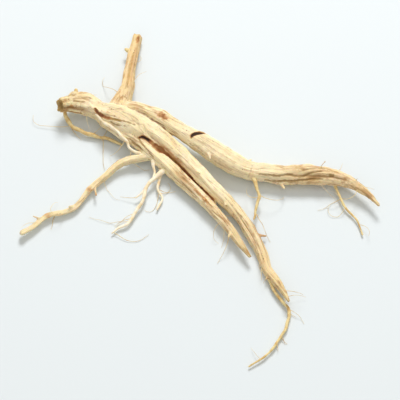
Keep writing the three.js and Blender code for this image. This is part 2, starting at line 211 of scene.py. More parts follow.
# the longest brown lines and two dark dots, drawn on the skin and pressed into it: width in mm,
# strength, and route as above
skinLines = [
    (0.7, 0.9,      # on the body, from the neck's crack and beside the slit
     [(-45.4, 4.4, 11.1, 1), (-42.4, 5.9, 11.7, 1), (-39.6, 7.5, 12, 0.8),
      (-36.6, 9.2, 11.2, 0.3)]),
    (0.5, 0.8,
     [(-45.2, 3.3, 10.2, 1), (-42.3, 4, 10.4, 1), (-39.7, 5.4, 11.2, 0.5)]),
    (1.1, 0.85,
     [(-34.6, 4.3, 7.9, 0.5), (-31.9, 4.3, 7.1, 1), (-29.7, 4.6, 7, 1),
      (-27.5, 4.6, 6.5, 0.5)]),
    (0.6, 0.9,
     [(-32.2, 7.1, 8.2, 1), (-29, 6.2, 8, 1), (-25.3, 5.7, 7.6, 0.8), (-21.6, 5.5, 6.9, 0.4)]),
    (0.6, 0.7,
     [(-23.2, 4.3, 5.1, 1), (-19.3, 4.5, 4.5, 1), (-14.4, 4.4, 4.8, 0.5)]),
    (0.6, 0.6,
     [(-50.7, 15.9, 10.3, 0.6), (-48.7, 16.2, 9.4, 1), (-46.3, 16, 10, 0.5)]),
    (0.5, 0.7,
     [(-63, -1.1, 11, 0.8), (-61, 0.6, 11, 1), (-59.7, 2.2, 11, 0.6)]),
    (0.5, 0.5,      # on the right leg before its bend, at the bend and past it
     [(-12.7, 19.8, 11, 0.6), (-6.2, 20.6, 9.8, 1), (0.4, 22, 8.7, 1), (6.4, 23.9, 7.5, 0.6)]),
    (0.4, 0.35,
     [(-13.3, 23.1, 12.4, 0.6), (-7, 24, 11.7, 1), (-0.3, 25.2, 11, 1), (5.1, 26.4, 10.1, 0.6)]),
    (0.4, 0.4,
     [(-9.8, 22.2, 11.6, 0.6), (-3.8, 22.8, 11, 1), (2.2, 24, 10, 0.6)]),
    (0.6, 0.5,
     [(12.4, 27.1, 6.7, 1), (12.1, 28.8, 8.5, 1), (10.6, 31.3, 8.7, 0.5)]),
    (0.8, 0.85,
     [(15.2, 30.9, 7.8, 0.5), (20.8, 35.8, 7.5, 1), (23.8, 39.4, 7.8, 1),
      (27.7, 42.2, 7.2, 1), (30, 46.5, 8.2, 0.9), (32.5, 49.9, 8.7, 0.5)]),
    (0.8, 0.9,
     [(17.8, 31.7, 5, 0.5), (21.4, 34, 5.4, 1), (25.3, 38, 6, 1),
      (30.1, 43.1, 6.4, 1), (35, 48.1, 6.9, 0.7)]),
    (0.6, 0.75,
     [(26.3, 43.5, 8.3, 0.6), (28.7, 47.7, 8.7, 1), (31.5, 51.6, 7.7, 0.6)]),
    (0.7, 0.85,     # on the lower leg
     [(-6.3, 7.5, 6.9, 0.6), (-1.7, 7.6, 7, 1), (3.1, 7.5, 6.6, 0.7)]),
    (1.3, 1,        # the dots, on the right leg and the head
     [(36.4, 51.6, 7.9, 1), (37, 52, 7.9, 1)]),
    (1.4, 1,
     [(-62.5, -3.6, 9.9, 1), (-61.9, -3, 9.5, 1)]),
]
# mm: how far off the skin a line still marks it, its soft and ragged edge, and how deep it is pressed
lineForm = {"reach": 2.0, "edge": (-0.15, 0.3), "ragged": 0.22, "raggedSize": 0.9, "depth": 0.2}

# thin rootlets grown out of the skin; routes as above
rootletForm = {
    "width": 1.9, "spacing": 0.45, "bevelResolution": 2, "clearance": 0.05,      # mm
    "knobShare": 0.2, "knobSize": 2.2,      # share of the radius, and mm
    "sway": 0.35, "swayRate": 0.7,          # mm sideways, and how often against the knobs
    "lift": 0.2, "liftRate": 0.6,
    "calmStart": 3,                         # mm before a rootlet sways in full
    "noiseStep": 3.7,                       # between the noise of one rootlet and the next
}

rootlets = [
    {"name": "headRootlet", "color": "yellow",
     "route": [(-65.2, -3.6, 6.6, 1), (-63.8, -5.6, 4.6, 0.95), (-60, -6.8, 3.1, 0.92),
               (-56, -6.3, 2.5, 0.92), (-49.6, -3.5, 1.9, 0.9), (-43.4, 0.2, 1.4, 0.75),
               (-37.5, 2.4, 1.2, 0.5)]},
    {"name": "bodyStrand", "color": "ivory",
     "route": [(-53.2, 2.4, 8.4, 0.6), (-50.2, 1.9, 8.7, 0.8), (-46.4, 2, 8.9, 0.78),
               (-44, 2.3, 8.8, 0.72), (-41.5, 2.7, 8.5, 0.7), (-37.2, 2.8, 7.7, 0.7),
               (-34.9, 2.8, 6.8, 0.68), (-33, 2.1, 5.8, 0.68), (-30.6, 2.4, 5.4, 0.7),
               (-27.2, 3.9, 5.4, 0.8)]},
    {"name": "whiteRootlet", "color": "ivory",
     "route": [(-15.2, 6.6, 4.2, 1.7), (-15.6, 3.4, 4, 1.2), (-15.6, -0.5, 4, 0.98),
               (-14.6, -5.3, 3.5, 0.88), (-11.9, -10.1, 2.9, 0.78), (-10.2, -15.9, 2.3, 0.7),
               (-8.7, -21.3, 1.8, 0.65), (-9.8, -25.4, 1.4, 0.56), (-10.5, -29.8, 1.3, 0.4)]},
    {"name": "curledRootlet", "color": "ivory",
     "route": [(-18, 6.4, 3.8, 1.1), (-14.2, 1.3, 2.6, 0.64), (-11.5, -2.1, 1.9, 0.58),
               (-7.7, -3.3, 1.5, 0.53), (-6, -6.3, 1.3, 0.48), (-5.2, -9, 1.3, 0.4)]},
    {"name": "kinkRootlet", "color": "yellow",
     "route": [(10.4, 30.4, 5, 1.5), (14, 28.6, 5.8, 0.95), (17.8, 26.6, 6, 0.72),
               (21.9, 23.9, 5.4, 0.66), (24.6, 19.8, 4.4, 0.6), (27, 15.6, 3.4, 0.4)]},
    {"name": "tipRootlet", "color": "yellow",
     "route": [(44.6, 4.9, 2.4, 0.9), (53.5, -0.3, 2, 0.72), (64.5, -2.7, 1.7, 0.68),
               (69.3, -7.3, 1.5, 0.62), (72.3, -16, 1.4, 0.56), (73, -24, 1.3, 0.5),
               (71.4, -32.4, 1.3, 0.38)]},
    {"name": "farRootlet", "color": "yellow",
     "route": [(35.6, 52, 4, 0.8), (42, 50.4, 2.8, 0.66), (49, 47.6, 1.8, 0.56),
               (56.4, 46.6, 1.4, 0.44), (63, 43.4, 1.3, 0.34)]},
    {"name": "armStub", "color": "yellow",
     "route": [(-66.2, 36.6, 3.8, 1), (-68.4, 35.6, 4.2, 0.9), (-70, 35.2, 4.4, 0.6)]},
    {"name": "whiteFoot", "color": "ivory",
     "route": [(-21.4, 5.2, 5, 1.2), (-19.9, 3.4, 4.8, 0.7), (-17.4, 1.8, 4.1, 0.55),
               (-15.8, -0.8, 3.9, 0.6)]},
    {"name": "headKnob", "color": "yellow",
     "route": [(-63.9, 1.7, 8.4, 1.3), (-65.8, 3.2, 9.2, 1.05), (-67.4, 4.6, 9.9, 0.8)]},
    {"name": "whiteTwig", "color": "ivory",
     "route": [(-14.6, -6.6, 3.4, 0.7), (-14.6, -9.6, 2.7, 0.5), (-15, -11.9, 2.2, 0.35)]},
]


def hexColor(code):       # sRGB hex to the linear colour that Blender's sockets take
    channels = [int(code[i:i + 2], 16) / 255 for i in (0, 2, 4)]
    linear = [c / 12.92 if c <= 0.04045 else ((c + 0.055) / 1.055) ** 2.4 for c in channels]
    return (*linear, 1.0)


def addNode(tree, kind, settings=None, values=None, links=None):
    node = tree.nodes.new(kind)
    for key, value in (settings or {}).items():
        setattr(node, key, value)
    for key, value in (values or {}).items():
        node.inputs[key].default_value = value
    for key, socket in (links or {}).items():
        tree.links.new(socket, node.inputs[key])
    return node


def deselectAll():
    bpy.ops.object.select_all(action='DESELECT')


def selectOnly(piece):
    deselectAll()
    piece.select_set(True)
    bpy.context.view_layer.objects.active = piece


def applyModifier(piece, kind, name, **settings):
    selectOnly(piece)
    modifier = piece.modifiers.new(name, kind)
    for key, value in settings.items():
        setattr(modifier, key, value)
    bpy.ops.object.modifier_apply(modifier=modifier.name)


# smooth noise of about -1 to 1 on a grid of unit cells, the same on every run; large odd numbers mix
# each corner's place into a height
def softNoise(points, seed):
    cell = np.floor(points).astype(np.int64)
    f = points - cell
    f = f * f * f * (f * (f * 6 - 15) + 10)
    total = np.zeros(len(points))
    for corner in itertools.product((0, 1), repeat=3):
        x, y, z = (cell + corner).T
        mixed = (x * 73856093 ^ y * 19349663 ^ z * 83492791 ^ seed * 2654435761) & 0xffffffff
        mixed = ((mixed ^ (mixed >> 15)) * 2246822519) & 0xffffffff
        mixed = ((mixed ^ (mixed >> 13)) * 3266489917) & 0xffffffff
        height = ((mixed ^ (mixed >> 16)) & 0xffff) / 32767.5 - 1
        weight = np.prod(np.where(corner, f, 1 - f), axis=1)
        total += height * weight
    return total


def smoothStep(low, high, values):
    t = np.clip((values - low) / (high - low), 0, 1)
    return t * t * (3 - 2 * t)


# the same noise along a line; the row tells one line's noise from the next
def lineNoise(s, size, row, rate, seed):
    return softNoise(rate * np.column_stack([s / size, np.full(len(s), row), np.zeros(len(s))]), seed)


# a smooth line through the stops of a route, with its directions, radius and length so far
def sampleRoute(route, spacing, width):
    curveSteps = 60      # between two stops
    stops = np.array(route, float)
    first = 2 * stops[0] - stops[1]
    last = 2 * stops[-1] - stops[-2]
    first[3] = stops[0][3]
    last[3] = stops[-1][3]
    padded = np.vstack([first, stops, last])
    t = np.linspace(0, len(stops) - 1, curveSteps * (len(stops) - 1) + 1)
    i = np.minimum(t.astype(int), len(stops) - 2)
    f = (t - i)[:, None]
    a, b, c, d = padded[i], padded[i + 1], padded[i + 2], padded[i + 3]
    line = 0.5 * (2 * b + (c - a) * f + (2 * a - 5 * b + 4 * c - d) * f ** 2
                  + (3 * b - a - 3 * c + d) * f ** 3)
    gone = np.concatenate([[0], np.cumsum(np.linalg.norm(np.diff(line[:, :3], axis=0), axis=1))])
    length = gone[-1]
    s = np.linspace(0, length, int(round(length / spacing)) + 1)
    values = np.stack([np.interp(s, gone, line[:, k]) for k in range(4)], axis=1)
    centre = values[:, :3] + routeShift
    along = np.gradient(centre, axis=0)
    along /= np.linalg.norm(along, axis=1)[:, None]
    side = np.cross((0, 0, 1), along)
    side /= np.linalg.norm(side, axis=1)[:, None]
    top = np.cross(along, side)
    return {"s": s, "length": length, "centre": centre, "along": along, "side": side, "top": top,
            "radius": values[:, 3] * width / 2}


# a tube along the line, made as a curve with a round bevel and turned into a mesh
def tubeMesh(name, line, radius, bevelResolution):
    deselectAll()
    bpy.ops.curve.primitive_nurbs_path_add(location=(0, 0, 0))
    tube = bpy.context.object
    tube.name = name
    data = tube.data
    data.splines.clear()
    spline = data.splines.new('POLY')
    spline.points.add(len(line["s"]) - 1)
    places = np.column_stack([line["centre"] * mm, np.ones(len(line["s"]))])
    spline.points.foreach_set("co", places.ravel())
    spline.points.foreach_set("radius", radius)
    data.dimensions = '3D'
    data.twist_mode = 'Z_UP'
    data.bevel_depth = mm
    data.bevel_resolution = bevelResolution
    data.use_fill_caps = True
    bpy.ops.object.convert(target='MESH')
    return bpy.context.object


def stubLines(branch, line):
    form = stubForm
    lines = []
    for i in range(branch.get("stubs", 0)):
        share = form["from"] + (form["to"] - form["from"]) * (i + 0.5) / branch["stubs"]
        at = int(share * (len(line["s"]) - 1))
        angle = form["spread"] * math.sin(form["turn"] * (i + branch["stubs"]))
        out = line["side"][at] * math.sin(angle) + line["top"][at] * math.cos(angle)
        length = form["length"] * (1 + form["lengthChange"] * math.cos(form["turn"] * i))
        route = []
        for k, reach in enumerate(form["reaches"]):
            stop = line["centre"][at] + out * (line["radius"][at] + reach * length)
            forward = form["lean"] * (reach - form["reaches"][0]) * length
            stop = stop + line["along"][at] * forward - routeShift
            route.append((*stop, 1 - form["taper"] * k))
        lines.append(sampleRoute(route, rootForm["tubeSpacing"], form["width"]))
    return lines


# the last stretch closes like the end of a finger, but for a small flat at the tip
def roundedTip(line, radius):
    flatShare = 0.02      # of the end's area
    past = np.clip((line["s"] - (line["length"] - radius[-1])) / radius[-1], 0, 1)
    return radius * np.sqrt(np.maximum(1 - past ** 2, flatShare))


def joinPieces(pieces, name):
    deselectAll()
    for piece in pieces:
        piece.select_set(True)
    bpy.context.view_layer.objects.active = pieces[0]
    if len(pieces) > 1:
        bpy.ops.object.join()
    joined = bpy.context.object
    joined.name = name
    joined.data.name = name
    return joined


# where each point of the skin lies on a branch: length along, angle from the top, distance out
def placeOnBranch(points, line):
    batch = 4000      # points at a time, to save memory
    nearest = np.empty(len(points), int)
    for start in range(0, len(points), batch):
        part = points[start:start + batch]
        gaps = ((part[:, None, :] - line["centre"][None, :, :]) ** 2).sum(axis=2)
        nearest[start:start + batch] = np.argmin(gaps, axis=1)
    offset = points - line["centre"][nearest]
    step = (offset * line["along"][nearest]).sum(axis=1)
    s = line["s"][nearest] + step
    offset = offset - step[:, None] * line["along"][nearest]
    across = (offset * line["side"][nearest]).sum(axis=1)
    upward = (offset * line["top"][nearest]).sum(axis=1)
    radius = np.interp(s, line["s"], line["radius"])
    return {"s": s, "angle": np.arctan2(across, upward), "out": np.hypot(across, upward),
            "radius": radius, "beyond": np.maximum(-s, s - line["length"])}


# ridges and flat sides that drift round a branch, cross folds and single lumps, in mm
def largeRelief(branch, s, angle, radius):
    seed = branch["route"][0][0]
    (few, many), (fewShare, manyShare) = branch["ridges"], ridgeForm["shares"]
    (fewPhase, manyPhase), (fewTwist, manyTwist) = ridgeForm["phases"], ridgeForm["twist"]
    sway = ridgeForm["sway"] * np.sin(ridgeForm["swayRate"] * s)
    ridge = (fewShare * np.cos(few * angle + fewPhase * seed + fewTwist * s)
             + manyShare * np.cos(many * angle + manyPhase * seed + manyTwist * s + sway))
    phase = 2 * math.pi * s / branch["folds"]
    fold = np.sin(phase + foldForm["unevenness"] * np.sin(foldForm["unevenRate"] * phase)
                  + foldForm["lean"] * np.cos(angle + seed))
    relief = radius * (ridgeForm["height"] * ridge + foldForm["height"] * fold)
    for where, height, length, facing in branch["lumps"]:
        turnedAway = 1 - np.cos(angle - facing)
        relief += height * np.exp(-((s - where) / length) ** 2 - turnedAway * lumpRoundness)
    half = math.pi / branch["corners"]
    turn = angle + half + facetForm["twist"] * np.sin(facetForm["twistRate"] * s + seed)
    flat = math.cos(half) / np.cos(turn % (2 * half) - half)
    return relief + facetForm["height"] * radius * (flat - (1 + math.cos(half)) / 2)


# the wrinkles of the dried skin; gives their height in mm and how deep in a groove a point is,
# which sets how much painted shade the groove gets
def fineRelief(branch, index, s, angle, radius):
    around = np.stack([np.cos(angle) * radius, np.sin(angle) * radius, s], axis=1)
    firstSeed = seeds["wrinkles"] + seeds["nextBranch"] * index

    def noise(name, where=around):
        width, length = wrinkleNoise[name]
        return softNoise(where / (width, width, length), firstSeed + list(wrinkleNoise).index(name))

    def grooves(name, where=around):
        return np.exp(-(noise(name, where) / grooveShare[name]) ** 2)

    def patches(name):
        return smoothStep(*patchRange[name], noise(name))

    bent = around.copy()
    bent[:, :2] += wrinkleDrift * noise("drift")[:, None]
    wrinkle = grooves("wrinkle", bent) * (leastWrinkle + (1 - leastWrinkle) * patches("wrinklePatch"))
    fine = grooves("fine", bent)
    cross = grooves("cross") * patches("crossPatch")

    ring = np.zeros(len(s))
    if "rings" in branch:
        low, high = branch["rings"]
        fadeIn = smoothStep(*(low + fade for fade in ringForm["fadeIn"]), s)
        fadeOut = 1 - smoothStep(*(high + fade for fade in ringForm["fadeOut"]), s)
        turns = (s + ringForm["wobble"] * noise("ringWobble")) / ringForm["spacing"]
        wave = np.maximum(0, np.cos(2 * math.pi * turns)) ** ringForm["sharpness"]
        ring = fadeIn * fadeOut * patches("ringBreak") * wave

    form = rootForm
    flatness = np.clip(radius / form["fullRadius"], *form["flattest"])
    height = (form["lumpDepth"] * noise("lump") - form["wrinkleDepth"] * wrinkle
              - form["fineDepth"] * fine - form["crossDepth"] * cross) * flatness
    depth = (wrinkle + grooveShade["fine"] * fine + grooveShade["cross"] * cross
             + grooveShade["ring"] * ring)
    return height - form["ringDepth"] * ring, np.clip(depth, 0, 1)


# one solid of all cracks, and the lines they follow
def crackCutter():
    tubes = []
    crackLines = []
    for crack in cracks:
        for cut in range(crack["cuts"]):
            line = sampleRoute(crack["route"], rootForm["tubeSpacing"], crack["width"])
            line["centre"][:, 2] -= cut * crackForm["cutStep"]
            row = crackForm["noiseStep"] * crack["width"]
            ragged = lineNoise(line["s"], crackForm["raggedSize"], row, 1, seeds["crackWidth"])
            line["radius"] = line["radius"] * (1 + crackForm["raggedness"] * ragged)
            tubes.append(tubeMesh(crack["name"], line, line["radius"], crackForm["resolution"]))
            where, shade = zip(*crack["shades"])
            crackLines.append({**line, "shade": np.interp(line["s"] / line["length"], where, shade)})
    cutter = joinPieces(tubes, "crackCutter")
    applyModifier(cutter, 'REMESH', "oneCutter", mode='VOXEL', voxel_size=crackForm["voxel"] * mm)
    return cutter, crackLines


# which points lie in a crack, and how dark each is, painted shade included
def crackMask(points, crackLines):
    inside = np.zeros(len(points))
    shade = np.zeros(len(points))
    for line in crackLines:
        reach = line["length"] / 2 + crackForm["margin"]
        near = np.abs(points - line["centre"].mean(axis=0)).max(axis=1) < reach
        offset = points[near][:, None, :] - line["centre"][None, :, :]
        gap = np.linalg.norm(offset, axis=2) - line["radius"]
        depth = 1 - smoothStep(0, crackForm["edge"], gap.min(axis=1))
        inside[near] = np.maximum(inside[near], depth)
        shade[near] = np.maximum(shade[near], depth * line["shade"][gap.argmin(axis=1)])
    mottled = 1 + crackForm["mottle"] * softNoise(points / crackForm["mottleSize"], seeds["crackShade"])
    return inside, np.clip(shade * np.where(shade < crackForm["mottleBelow"], mottled, 1), 0, 1)


# how far a point lies from the drawn lines along the skin, whatever its height on the wrinkles
def skinLineMask(points, normals):
    mask = np.zeros(len(points))
    ragged = lineForm["ragged"] * softNoise(points / lineForm["raggedSize"], seeds["lineEdge"])
    for width, strength, route in skinLines:
        line = sampleRoute(route, rootForm["tubeSpacing"], width)
        low = line["centre"].min(axis=0) - lineForm["reach"]
        high = line["centre"].max(axis=0) + lineForm["reach"]
        near = ((points > low) & (points < high)).all(axis=1)
        offset = points[near][:, None, :] - line["centre"][None, :, :]
        depth = (offset * normals[near][:, None, :]).sum(axis=2)
        across = np.sqrt(np.maximum((offset ** 2).sum(axis=2) - depth ** 2, 0))
        gap = np.where(np.abs(depth) < lineForm["reach"], across - line["radius"], lineForm["reach"])
        inside = 1 - smoothStep(*lineForm["edge"], gap.min(axis=1) + ragged[near])
        mask[near] = np.maximum(mask[near], inside * strength)
    return mask


# all branches, stubs and the web as one rough skin, cut by the cracks
def roughSkin():
    form = rootForm
    lines = []
    tubes = []
    for branch in branches:
        line = sampleRoute(branch["route"], form["tubeSpacing"], branch["width"])
        radius = line["radius"] if branch["name"] in cutEnds else roundedTip(line, line["radius"])
        tubes.append(tubeMesh(branch["name"], line, radius, form["tubeResolution"]))
        for stub in stubLines(branch, line):
            radius = roundedTip(stub, stub["radius"])
            tubes.append(tubeMesh("stub", stub, radius, stubForm["resolution"]))
        lines.append(line)
    web = sampleRoute(legWeb["route"], form["tubeSpacing"], legWeb["width"])
    tubes.append(tubeMesh("legWeb", web, web["radius"], legWeb["resolution"]))
    skin = joinPieces(tubes, "rootSkin")
    applyModifier(skin, 'REMESH', "oneSkin", mode='VOXEL', voxel_size=form["voxel"] * mm)
    cutter, crackLines = crackCutter()
    applyModifier(skin, 'BOOLEAN', "cracks", operation='DIFFERENCE', object=cutter)
    bpy.data.objects.remove(cutter)
    applyModifier(skin, 'REMESH', "evenSkin", mode='VOXEL', voxel_size=form["voxel"] * mm)
    howFar, howOften = form["smoothing"]
    applyModifier(skin, 'SMOOTH', "softForks", factor=howFar, iterations=howOften)
    return skin, lines, crackLines


def readPoints(mesh, what):      # the "co" or the "normal" of every point
    values = np.empty(len(mesh.vertices) * 3)
    mesh.vertices.foreach_get(what, values)
    return values.reshape(-1, 3)


# how the cut ends move the points, in mm, and how much of the cut's colour they have
def cutEndRelief(points, places, shares, lines):
    form = cutForm
    moves = np.zeros_like(points)
    mask = np.zeros(len(points))
    for name, cut in cutEnds.items():
        index = branchNames.index(name)
        place, line, share = places[index], lines[index], shares[index]
        end, inward = (-1, -1) if cut["atTip"] else (0, 1)
        away = line["length"] - place["s"] if cut["atTip"] else place["s"]
        reach = place["out"] / line["radius"][end]
        rough = softNoise(points / form["roughSize"], seeds["cutEnds"] + index)

        onFace = (away < form["faceDepth"]) & (reach < form["faceReach"]) & (share > form["faceShare"])
        bowl = cut["hollow"] * np.clip(1 - (reach / form["bowlReach"]) ** 2, 0, 1)
        depth = np.where(onFace, bowl + form["roughDepth"] * rough, 0)
        moves += depth[:, None] * line["along"][end] * inward

        middle = 1 - smoothStep(*form["darkReach"], reach + form["darkRagged"] * rough)
        shade = form["rimShade"] + (1 - form["rimShade"]) * middle
        face = (share > form["colorShare"]) * (1 - smoothStep(*form["colorDepth"], away))
        mask = np.maximum(mask, face * (1 - smoothStep(*form["colorReach"], reach)) * shade)
    return moves, mask


# how far each point lies under the mean of those around it, for painted shade in the hollows
def hollowShadeMask(mesh, points):
    edges = np.empty(len(mesh.edges) * 2, int)
    mesh.edges.foreach_get("vertices", edges)
    starts, ends = edges.reshape(-1, 2).T
    count = len(points)
    neighbours = np.bincount(edges, minlength=count)
    smooth = points
    for _ in range(rootForm["hollowRounds"]):
        sums = [np.bincount(starts, values[ends], count) + np.bincount(ends, values[starts], count)
                for values in smooth.T]
        smooth = np.stack(sums, axis=1) / neighbours[:, None]
    depth = ((smooth - points) * readPoints(mesh, "normal")).sum(axis=1)
    return smoothStep(*rootForm["hollowDepth"], depth)


# the branch that owns a point gives it its length and roundness in mm, for patterns that run along it
def grainPlaces(places, shares):
    owner = np.argmax(shares, axis=0)
    grain = np.zeros((len(owner), 3))
    for index, place in enumerate(places):
        mine = owner == index
        s, angle, radius = (place[key][mine] for key in ("s", "angle", "radius"))
        grain[mine] = np.column_stack([s + rootForm["grainStep"] * index,
                                       np.sin(angle) * radius, np.cos(angle) * radius])
    return grain


def storeLayers(mesh, layers):
    for name, values in layers.items():
        kind, field = ('FLOAT_VECTOR', "vector") if values.ndim == 2 else ('FLOAT', "value")
        layer = mesh.attributes.new(name, kind, 'POINT')
        layer.data.foreach_set(field, values.astype(np.float32).ravel())


# where the skin differs along a branch: how much, and the mm along it where that comes in and fades out
skinZones = {
    "pale": [      # and smoother: the body, the near legs, the right leg to its bend, the side root
        ("headAndBody", 0.8, (9, 16), None), ("upperLeg", 0.8, None, (45, 80)),
        ("lowerLeg", 0.4, None, (25, 45)), ("rightLeg", 1, (24, 32), (64, 84)),
        ("sideRoot", 0.6, None, None)],
    "yellow": [    # greenish: the head, the side root, the arm, most at its end, and the legs' tips
        ("headAndBody", 0.85, None, (0, 13)), ("sideRoot", 0.5, None, None),
        ("arm", 0.25, None, None), ("arm", 0.6, (30, 40), None), ("lowerLeg", 1, (62, 88), None),
        ("upperLeg", 0.7, (88, 115), None), ("rightLeg", 0.6, (98, 128), None)],
    "tan": [       # warmer brown: the arm and the far halves of the legs
        ("arm", 0.75, None, None), ("rightLeg", 0.5, (60, 110), None),
        ("upperLeg", 0.5, (60, 100), None), ("lowerLeg", 0.5, (45, 80), None)],
}


def zoneMask(zone, places, shares):
    mask = np.zeros(shares.shape[1])
    for name, most, comesIn, fadesOut in skinZones[zone]:
        index = branchNames.index(name)
        s = places[index]["s"]
        rise = smoothStep(*comesIn, s) if comesIn else 1
        fall = 1 - smoothStep(*fadesOut, s) if fadesOut else 1
        mask += shares[index] * most * rise * fall
    return np.clip(mask, 0, 1)


# spots on the skin: branch, mm along it, angle from its top, half length and half width in mm, strength
spots = [
    ("rightLeg", 19.6, -0.12, (3.2, 1.3), 0.9),
    ("rightLeg", 64, -0.9, (1.0, 2.2), 0.25),
    ("arm", 28, -0.6, (13, 1.0), 0.3),
    ("arm", 40, -0.3, (2.2, 0.9), 0.9),
    ("upperLeg", 30, -1.3, (9, 1.0), 0.6),
    ("lowerLeg", 52, -0.2, (7, 0.6), 0.7),
    ("sideRoot", 30.7, 0.2, (1.1, 1.8), 0.5),
    ("sideRoot", 52.8, 0.2, (1.1, 1.8), 0.4),
    ("sideRoot", 41.5, -1.2, (0.8, 0.9), 0.6),
    ("headAndBody", 4.4, -0.86, (1.3, 0.8), 0.6),
]
spotForm = {"edge": (0.35, 1.35), "ragged": (0.3, 0.15), "raggedSizes": (0.9, 0.35)}      # sizes in mm


def spotMask(points, places, shares):
    mask = np.zeros(len(points))
    rows = zip(spotForm["ragged"], spotForm["raggedSizes"], seeds["spots"])
    ragged = sum(share * softNoise(points / size, seed) for share, size, seed in rows)
    for name, where, facing, (halfLength, halfWidth), strength in spots:
        index = branchNames.index(name)
        place = places[index]
        turn = (place["angle"] - facing + math.pi) % (2 * math.pi) - math.pi
        off = np.hypot((place["s"] - where) / halfLength, turn * place["radius"] / halfWidth)
        inside = 1 - smoothStep(*spotForm["edge"], off + ragged)
        mask = np.maximum(mask, inside * strength * shares[index])
    return mask


def buildSkin():
    form = rootForm
    skin, lines, crackLines = roughSkin()
    mesh = skin.data
    points = readPoints(mesh, "co") / mm
    normals = readPoints(mesh, "normal")

    # each branch's share in a point, from how near its surface the point lies
    places = [placeOnBranch(points, line) for line in lines]
    gaps = np.stack([place["out"] - place["radius"] + form["pastEnd"] * np.maximum(place["beyond"], 0)
                     for place in places])
    shares = np.exp(-np.maximum(gaps - gaps.min(axis=0), 0) / form["forkSoftness"])
    shares /= shares.sum(axis=0)

    height = np.zeros(len(points))
    paintedGrooveShade = np.zeros(len(points))
    pale = zoneMask("pale", places, shares)
    calm = 1 - form["calmShare"] * pale
    for index, (branch, place) in enumerate(zip(branches, places)):
        near = shares[index] > form["leastShare"]
        s, angle, radius = (place[key][near] for key in ("s", "angle", "radius"))
        large = largeRelief(branch, s, angle, radius)
        fine, depth = fineRelief(branch, index, s, angle, radius)
        height[near] += shares[index][near] * (large + fine * calm[near])
        paintedGrooveShade[near] += shares[index][near] * depth * calm[near]

    insideCrack, crackShade = crackMask(points, crackLines)
    drawnLine = skinLineMask(points, normals)
    height = height * (1 - insideCrack) - lineForm["depth"] * drawnLine
    endMoves, cut = cutEndRelief(points, places, shares, lines)
    moved = points + normals * height[:, None] + endMoves
    moved[:, 2] = np.maximum(moved[:, 2], 0)      # nothing goes under the ground
    mesh.vertices.foreach_set("co", (moved * mm).ravel())
    mesh.update()

    storeLayers(mesh, {
        "grain": grainPlaces(places, shares), "paintedGrooveShade": paintedGrooveShade, "hollow": hollowShadeMask(mesh, moved),
        "cut": cut, "yellow": zoneMask("yellow", places, shares),
        "tan": zoneMask("tan", places, shares), "pale": pale,
        "scar": spotMask(moved, places, shares), "longLine": drawnLine, "crack": crackShade})
    return skin, lines


def buildRootlets(colorName):
    form = rootletForm
    tubes = []
    for index, rootlet in enumerate(rootlets):
        if rootlet["color"] != colorName:
            continue
        line = sampleRoute(rootlet["route"], form["spacing"], form["width"])
        s, row = line["s"], form["noiseStep"] * index
        knobs = 1 + form["knobShare"] * lineNoise(s, form["knobSize"], row, 1, seeds["knobs"])
        sway = form["sway"] * lineNoise(s, form["knobSize"], row, form["swayRate"], seeds["sway"])
        lift = form["lift"] * lineNoise(s, form["knobSize"], row, form["liftRate"], seeds["lift"])
        moves = line["side"] * sway[:, None] + line["top"] * lift[:, None]
        centre = line["centre"] + moves * smoothStep(0, form["calmStart"], s)[:, None]
        radius = roundedTip(line, line["radius"]) * knobs
        centre[:, 2] = np.maximum(centre[:, 2], radius + form["clearance"])
        tubes.append(tubeMesh(rootlet["name"], {**line, "centre": centre}, radius,
                              form["bevelResolution"]))
    return joinPieces(tubes, colorName + "Rootlets")


# hair-fine roots on the branches and rootlets; lengths in mm
hairForm = {
    "count": 46, "seed": 8, "width": 0.32, "widthChange": (0.6, 1.15), "taper": 0.6,
    "length": (5, 17), "spacing": 0.6,
    "overhang": 2.0,           # past the outline of the solid
    "turn": (0.9, 1.9),        # radians from the top of the branch to either side
    "outward": (0.7, 1), "forward": (0.2, 0.9), "startShare": 0.6,      # of the branch's radius
    "curl": 0.09, "curlKept": 0.9, "curlChange": 0.05, "droop": 0.05, "droopChange": 0.05,
    "ground": 0.3, "bounce": 0.3,
    # which stretch of each has hairs; the rootlet near the upper leg's tip has twice as many
    "branches": {"upperLeg": (0.72, 0.99), "lowerLeg": (0.6, 0.98), "rightLeg": (0.55, 0.98),
                 "sideRoot": (0.15, 0.95), "arm": (0.2, 0.9), "headAndBody": (0.02, 0.3)},
    "rootlets": ("headRootlet", "bodyStrand", "whiteRootlet", "curledRootlet", "kinkRootlet",
                 "tipRootlet", "farRootlet", "tipRootlet"),
    "rootletStretch": (0.25, 0.97),
}
drawnHairs = [      # x, y, z in mm: the long one at the head, and those of the white rootlet
    [(-59.3, -7.3, 2.6), (-61.4, -9.7, 2), (-64.4, -11.9, 1.4), (-67.3, -14.2, 1.1),
     (-69.6, -15.9, 1.1), (-72.3, -16.2, 1.3), (-74.4, -14.4, 1.6)],
    [(-58.8, -7.2, 2), (-55.4, -7.7, 1), (-51.7, -7.8, 0.5)],
    [(-10.2, -28.8, 1.3), (-8, -28.2, 1), (-4.7, -27.5, 0.7), (-2.2, -26.1, 0.5), (-0.2, -23.5, 0.4),
     (0.5, -18.7, 0.4)],
    [(-14.8, -10.6, 2.5), (-16.3, -12.4, 1.8), (-20.3, -15.3, 1.2)],
]


def hairTube(s, centre, radius):
    tapered = radius * (1 - hairForm["taper"] * s / s[-1])
    return tubeMesh("hair", {"s": s, "centre": centre}, tapered, 0)


